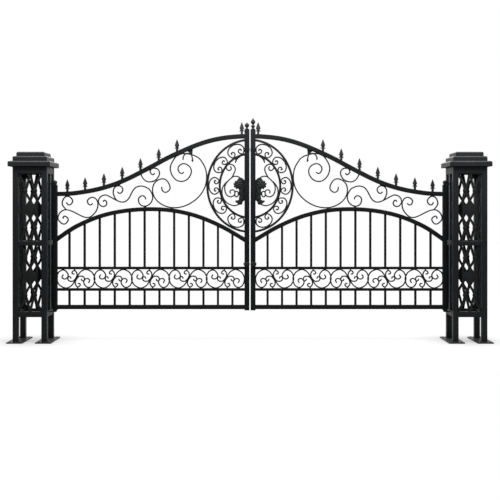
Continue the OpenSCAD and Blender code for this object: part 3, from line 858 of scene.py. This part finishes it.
# ---- pickets ----
# Twelve solid square bars, 20 mm across, stand in each leaf below the scroll band and
# twelve above it. Each is cut to length and welded all round to the rails at its ends.
bars = welded_copy("left_pickets", "left_picket_bars")
rolled_edge = 0.002
round_edges(bars, rolled_edge)
fit_both(bars, coat_on_leaf, "left_leaf", "leaf_paint", "left_pickets")


def loose_parts(node):
    """The corners of each separate solid of a CAD node."""
    activate(welded_copy(node, "loose"))
    bpy.ops.object.mode_set(mode="EDIT")
    bpy.ops.mesh.separate(type="LOOSE")
    end_edit()
    parts = []
    for piece in list(bpy.context.selected_objects):
        parts.append([vertex.co.copy() for vertex in piece.data.vertices])
        bpy.data.objects.remove(piece)
    return sorted(parts, key=lambda corners: (round(corners[0].x, 3), corners[0].z))


def end_of(corners, way):
    """Middle, width and slope of a bar's lower (-1) or upper (1) end."""
    left, right = min(c.x for c in corners), max(c.x for c in corners)
    at_left = max(way * c.z for c in corners if c.x < left + 0.0005) * way
    at_right = max(way * c.z for c in corners if c.x > right - 0.0005) * way
    return (Vector(((left + right) / 2, 0, (at_left + at_right) / 2)), right - left,
            math.atan2(at_right - at_left, right - left))


for corners in loose_parts("left_pickets"):
    for way in (-1, 1):
        spot, wide, slope = end_of(corners, way)
        welds.append(weld_run(spot, wide / math.cos(slope), wide, 2, -slope))
fit_both(joined(welds, "left_leaf_welds"), coat_on_weld, "left_leaf", "leaf_paint")


# ---- scroll band ----
# Between the band rails run five motifs of bar, 12 mm wide and 14 mm deep. In each, a
# large S scroll crosses a small double one, and a dab of weld holds it wherever it meets a
# rail, the next motif or a stile.

# Powder coat on hammered bar: shallow dents from the hammer's face, about 14 mm apart,
# catch the light along every scroll.
coat_on_forged = black_coat("powder_coat_on_forged_bar", "#0d0e0f", "#161718", 0.08,
                            0.42, 0.12, grain=0.014, strength=0.5, height=0.001,
                            texture=("ShaderNodeTexVoronoi", "Distance"))

dab_size = (0.013, 0.0055, 0.0042)


def weld_dab(u, z, turn):
    """A lump of weld in the plane of the left leaf, u metres from its hinge axis."""
    bpy.ops.mesh.primitive_uv_sphere_add(segments=12, ring_count=8, radius=1)
    dab = bpy.context.object
    dab.scale = dab_size
    bpy.ops.object.transform_apply(location=False, rotation=False, scale=True)
    for vertex in dab.data.vertices:
        vertex.co *= 1 + 0.09 * math.sin(vertex.co.x * 1900) * math.cos(vertex.co.y * 700)
    dab.data.transform(Matrix.Translation((hinge_x + u, 0, z)) @ turned_by(-turn, "Y"))
    bpy.ops.object.shade_smooth()
    return dab


scroll_edge = 0.004
band = flat_bars("left_scroll_band", "left_scroll_band_bars", scroll_edge)
fit_both(band, coat_on_forged, "left_leaf", "scroll_paint", "left_scroll_band")
band_low, band_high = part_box("left_scroll_band")
motifs = 5
pitch = (band_high.x - band_low.x) / motifs
touching = ((0.091, 1), (0.114, -1), (-0.0946, -1), (-0.1186, 1))
dabs = []
for i in range(motifs):
    u = band_low.x - hinge_x + (i + 0.5) * pitch
    for x, way in touching:
        dabs.append(weld_dab(u + x, band_high.z if way > 0 else band_low.z, 0))
    dabs.append(weld_dab(u + pitch / 2, (band_low.z + band_high.z) / 2, 90))
dabs.append(weld_dab(band_low.x - hinge_x, (band_low.z + band_high.z) / 2, 90))


# ---- crest scrolls ----
# The same bar, drawn hot round a former into loose scrolls that climb with the top rail.
# They touch each other and the rails at a few places only, and a dab of weld is there.
crest = flat_bars("left_crest_scrolls", "left_crest_scroll_bars", scroll_edge)
fit_both(crest, coat_on_forged, "left_leaf", "scroll_paint", "left_crest_scrolls")
crest_touching = ((0.110, 1.3075, 3), (0.323, 1.112, 20), (0.022, 1.107, 90), (0.388, 1.250, 95),
                  (0.577, 1.405, 23), (0.812, 1.207, 5), (0.878, 1.340, 95), (0.773, 1.502, 28),
                  (0.889, 1.437, 20), (1.056, 1.196, -3), (1.365, 1.447, 90))
dabs += [weld_dab(*touch) for touch in crest_touching]


# ---- medallion ----
# Half of a double oval ring of 20 mm bar stands against each meeting stile, so that the
# closed leaves show a whole one. Five C scrolls fill the space between its two bars.
ring = flat_bars("left_medallion_ring", "left_medallion_ring_bars", scroll_edge)
fit_both(ring, coat_on_forged, "left_leaf", "scroll_paint", "left_medallion_ring")


# ---- heart scrolls ----
# Scrolls of 12 mm bar, bent round a former and welded to one another, fill the middle of
# the ring and hold the cast leaf. Over them a pointed spur hangs from the ring.
def bar_edge(knots, wide):
    """Outline of a round-ended bar through knots in mm from the hinge, with metal on its left."""
    knots = [Vector(knot) / 1000 + Vector((hinge_x, 0)) for knot in knots]
    knots = [2 * knots[0] - knots[1]] + knots + [2 * knots[-1] - knots[-2]]
    line = []
    for a, b, c, d in zip(knots, knots[1:], knots[2:], knots[3:]):
        for t in (0, 0.2, 0.4, 0.6, 0.8):
            line.append((2 * b + (c - a) * t + (2 * a - 5 * b + 4 * c - d) * t * t
                         + (3 * b - a - 3 * c + d) * t ** 3) / 2)
    line.append(knots[-2])
    sides = []
    for run in (line, line[::-1]):
        for i, point in enumerate(run):
            ahead = (run[min(i + 1, len(run) - 1)] - run[max(i - 1, 0)]).normalized()
            out = Vector((ahead.y, -ahead.x))
            sides.append(point + out * wide / 2)
        sides += [point + (out * math.cos(a) + ahead * math.sin(a)) * wide / 2
                  for a in map(math.radians, (45, 90, 135))]
    return sides


scroll_wide = 0.0119
heart_lines = [
    [(1583, 1571), (1589, 1562), (1588, 1548), (1577, 1537), (1562, 1538), (1549, 1550),
     (1544, 1568), (1553, 1585), (1577, 1593), (1602, 1587), (1618, 1572), (1626, 1552),
     (1622, 1528), (1611, 1504), (1594, 1474), (1562, 1443), (1538, 1411), (1531, 1377),
     (1535, 1345), (1546, 1320), (1564, 1304), (1586, 1299), (1607, 1306), (1620, 1321),
     (1623, 1340), (1615, 1356), (1600, 1362), (1585, 1357), (1578, 1345), (1582, 1333)],
    [(1562, 1443), (1535, 1419), (1513, 1384), (1506, 1350), (1509, 1314), (1524, 1276),
     (1551, 1245), (1584, 1226), (1621, 1219), (1656, 1229)],
    [(1594, 1474), (1612, 1483), (1634, 1484), (1658, 1477), (1680, 1462)],
    [(1621, 1336), (1631, 1348), (1645, 1346), (1652, 1334), (1653, 1318), (1646, 1303),
     (1634, 1299), (1624, 1306), (1621, 1318)]]
heart = []
for line in heart_lines:
    scroll = flat_bars("left_heart_scrolls", "heart_bar", scroll_edge, 20, rounds=1,
                       loops=[bar_edge(line, scroll_wide)])
    # Each is a hair thinner than the one before, so that bars that cross share no face.
    thinner = 1 - 0.02 * len(heart)
    scroll.data.transform(Matrix.Scale(thinner, 4, (0, 1, 0)))
    heart.append(scroll)
lowest_spur = 1.6
spur = [loop for loop in outlines("left_heart_scrolls", 1) if min(p.y for p in loop) > lowest_spur]
heart.append(flat_bars("left_heart_scrolls", "heart_spur", scroll_edge, loops=spur))
heart = joined(heart, "left_heart_scroll_bars")
fit_both(heart, coat_on_forged, "left_leaf", "scroll_paint", "left_heart_scrolls")
fit_both(joined(dabs, "left_scroll_welds"), coat_on_weld, "left_leaf", "scroll_paint")


# ---- spears ----
# Eight cast spear heads stand on the top rail of each leaf on square necks: a ridged
# blade over a waist, and under it two barbs that point out and a little down.
ridge_edge = 0.0007
neck_corner = 0.0015
blade = [(0, 0.0105, 0.0105), (0.001, 0.0255, 0.0085), (0.0065, 0.0215, 0.0085),
         (0.012, 0.0145, 0.009), (0.0165, 0.0132, 0.01), (0.0205, 0.0178, 0.011),
         (0.025, 0.0208, 0.0105), (0.03, 0.0204, 0.0098), (0.042, 0.0164, 0.0082),
         (0.056, 0.0118, 0.0064), (0.07, 0.0068, 0.0045), (0.0835, 0.001, 0.001)]
barb_drop = 0.005
head_high = 0.084
neck_half = 0.01
spear_head = built_up("spear_head", origin, 8, blade)
for vertex in spear_head.data.vertices:
    if abs(vertex.co.x) > 0.02 and vertex.co.z < 0.012:
        vertex.co.z -= barb_drop
round_edges(spear_head, ridge_edge, 2, 25)
spears = []
for corners in loose_parts("left_spears"):
    x = end_of(corners, -1)[0].x
    blade_foot = max(c.z for c in corners) - head_high
    neck_foot = min(c.z for c in corners) - 0.004
    spears.append(tube((x - neck_half, -neck_half, neck_foot),
                       (x + neck_half, neck_half, blade_foot + 0.001), 2, neck_corner))
    spears.append(copied(spear_head, Matrix.Translation((x, 0, blade_foot))))
bpy.data.objects.remove(spear_head)
row = joined(spears, "left_spear_row")
smooth(row)
fit_both(row, coat_on_casting, "left_leaf", "casting_paint", "left_spears")


# ---- cast leaves ----
# A cast acanthus leaf with a rosette at its head stands in each half of the ring, fixed
# to the side of the meeting stile. Its leaflets hang down it and curl out at the bottom.
def leaflet(u, z, turn, long, wide, thick):
    """A veined leaflet from its root, u and z metres from the hinge axis and the ground."""
    bpy.ops.mesh.primitive_uv_sphere_add(segments=20, ring_count=14, radius=1)
    blade = bpy.context.object
    for vertex in blade.data.vertices:
        x, y, along = vertex.co
        part = (along + 1) / 2
        vein = 1 - 0.45 * math.exp(-(x / 0.2) ** 2) * math.sin(math.pi * part)
        vertex.co = (x * wide * (1 - 0.4 * part), y * thick * vein * (1 - 0.3 * part), long * part)
    blade.data.transform(Matrix.Translation((hinge_x + u, 0, z)) @ turned_by(90 - turn, "Y"))
    return blade


rosette = Vector((1.651, 1.408))
leaflets = ((1.690, 1.440, 250, 0.075, 0.017, 0.009), (1.697, 1.400, 262, 0.080, 0.015, 0.010),
            (1.688, 1.362, 261, 0.075, 0.017, 0.011), (1.697, 1.335, 268, 0.070, 0.013, 0.009),
            (1.686, 1.306, 256, 0.060, 0.016, 0.011), (1.698, 1.292, 268, 0.036, 0.011, 0.009),
            (1.672, 1.372, 256, 0.064, 0.010, 0.008), (1.676, 1.322, 252, 0.052, 0.010, 0.008),
            (1.690, 1.264, 213, 0.052, 0.015, 0.010), (1.686, 1.275, 203, 0.060, 0.012, 0.009),
            (1.684, 1.258, 232, 0.034, 0.012, 0.010), (1.700, 1.425, 150, 0.056, 0.016, 0.009),
            (1.703, 1.402, 166, 0.052, 0.014, 0.009), (1.705, 1.446, 176, 0.045, 0.012, 0.008),
            (1.700, 1.438, 120, 0.038, 0.012, 0.009), (1.643, 1.258, 206, 0.018, 0.010, 0.009))
casts = [leaflet(*numbers) for numbers in leaflets]
petals = [(0, 0, 0.0075, 0.0075, 0.0165)]
petals += [(0.0265, 8 + 40 * i, 0.0175, 0.0122, 0.011) for i in range(9)]
petals += [(0.013, 40 + 72 * i, 0.011, 0.0078, 0.0145) for i in range(5)]
for out, turn, long, wide, thick in petals:
    bpy.ops.mesh.primitive_uv_sphere_add(segments=20, ring_count=12, radius=1)
    petal = bpy.context.object
    petal.data.transform(Matrix.Translation((hinge_x + rosette.x, 0, rosette.y))
                         @ turned_by(-turn, "Y") @ Matrix.Translation((out, 0, 0))
                         @ Matrix.Diagonal((long, thick, wide, 1)))
    casts.append(petal)
core_thin = 0.45
rosette_reach = 0.048
stile_side = hinge_x + 1.692
stile_foot = 1.262
core = welded_copy("left_leaf_ornament", "core")
core.data.transform(Matrix.Diagonal((1, core_thin, 1, 1)))
for vertex in core.data.vertices:
    spot = Vector((vertex.co.x - hinge_x, vertex.co.z)) - rosette
    if spot.length < rosette_reach:
        vertex.co.x -= spot.x * 0.2
        vertex.co.z -= spot.y * 0.2
    if vertex.co.x > stile_side:
        vertex.co.z = max(vertex.co.z, stile_foot)
casts.append(core)
leaf = joined(casts, "left_cast_leaf")
modified(leaf, "REMESH", mode="VOXEL", voxel_size=0.0015)
modified(leaf, "SMOOTH", factor=0.5, iterations=4)
bpy.ops.object.shade_smooth()
fit_both(leaf, coat_on_casting, "left_leaf", "casting_paint", "left_leaf_ornament")


# ---- finials ----
# Each meeting stile ends in a cast finial that is screwed down on its cap: a ball with a
# small point on the left one, and a taller bulb over a flat bead on the right one.
def arc(centre, across, up, first, last, step=10):
    """Heights and radii of a round stretch of a profile, between two angles."""
    return [(centre + up * math.sin(math.radians(a)), across * math.cos(math.radians(a)))
            for a in range(first, last + 1, step)]


flange = [(0, 0.012), (0.003, 0.012), (0.0045, 0.0088), (0.0065, 0.0084)]
ball = (flange + arc(0.031, 0.021, 0.021, -60, 70)
        + [(0.0525, 0.0048), (0.056, 0.0028), (0.059, 0.0006)])
bulb = (flange + arc(0.022, 0.019, 0.012, -50, 50) + [(0.0345, 0.0088), (0.0385, 0.0088)]
        + arc(0.062, 0.021, 0.021, -60, 40) + [(0.0825, 0.0105), (0.089, 0.0055), (0.0975, 0.0006)])
for side, profile, x in (("left", ball, meet_x), ("right", bulb, 2 * middle - meet_x)):
    finial = spun(side + "_turned_finial", Vector((x, 0, meet_high.z)), profile, 32)
    smooth(finial)
    fit(finial, coat_on_casting, side + "_leaf", "casting_paint", side + "_finial")


# ---- latch ----
# A 15 mm bolt slides in a square barrel welded to the left meeting stile and shoots into
# a keeper on the right one. A knob, screwed into the bolt, runs in the barrel's slot.
for node, body in (("latch_barrel", "left_leaf"), ("latch_keeper", "right_leaf")):
    box_low, box_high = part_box(node)
    block = welded_copy(node, node + "_block")
    round_edges(block, sawn_edge, 2, 60)
    spot = ((box_low.x + box_high.x) / 2, box_high.y, (box_low.z + box_high.z) / 2)
    bead = weld_run(spot, box_high.x - box_low.x - weld_bead, box_high.z - box_low.z - weld_bead, 1)
    block = joined([block, bead], node + "_block")
    smooth(block)
    fit(block, hinge_paint, body, "hinge_steel", node)
bolt_low, bolt_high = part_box("latch_bolt")
bolt_r = (bolt_high.z - bolt_low.z) / 2
bolt_long = bolt_high.x - bolt_low.x
bolt_axis = Vector((bolt_low.x, bolt_high.y - bolt_r, (bolt_low.z + bolt_high.z) / 2))
rod = spun("rod", origin, [(0, bolt_r - 0.0012), (0.0012, bolt_r), (bolt_long - 0.003, bolt_r),
                           (bolt_long, bolt_r - 0.003)], 32)
rod.data.transform(Matrix.Translation(bolt_axis) @ turned_by(90, "Y"))
knob_reach = bolt_axis.y - bolt_low.y
knob = spun("knob", origin, [(0, 0.004), (knob_reach - 0.0085, 0.004), (knob_reach - 0.008, 0.0056),
                             (knob_reach - 0.0068, 0.007), (knob_reach - 0.0022, 0.007),
                             (knob_reach - 0.0006, 0.0058), (knob_reach, 0.003)], 24)
knob_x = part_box("latch_barrel")[0].x + 0.0085
knob.data.transform(Matrix.Translation((knob_x, bolt_axis.y, bolt_axis.z)) @ turned_by(90, "X"))
bolt = joined([rod, knob], "latch_sliding_bolt")
smooth(bolt)

# Bright drawn steel under worn black paint: the paint is left in patches about 8 mm
# across, and between them the rod shows grey and polished from sliding.
sliding_steel = black_coat("worn_paint_on_drawn_steel", "#101112", "#55565a", 0.008,
                           0.3, 0.3, grain=0.001, strength=0.3, height=0.0002)
fit(bolt, sliding_steel, "bolt", "bolt_steel", "latch_bolt")
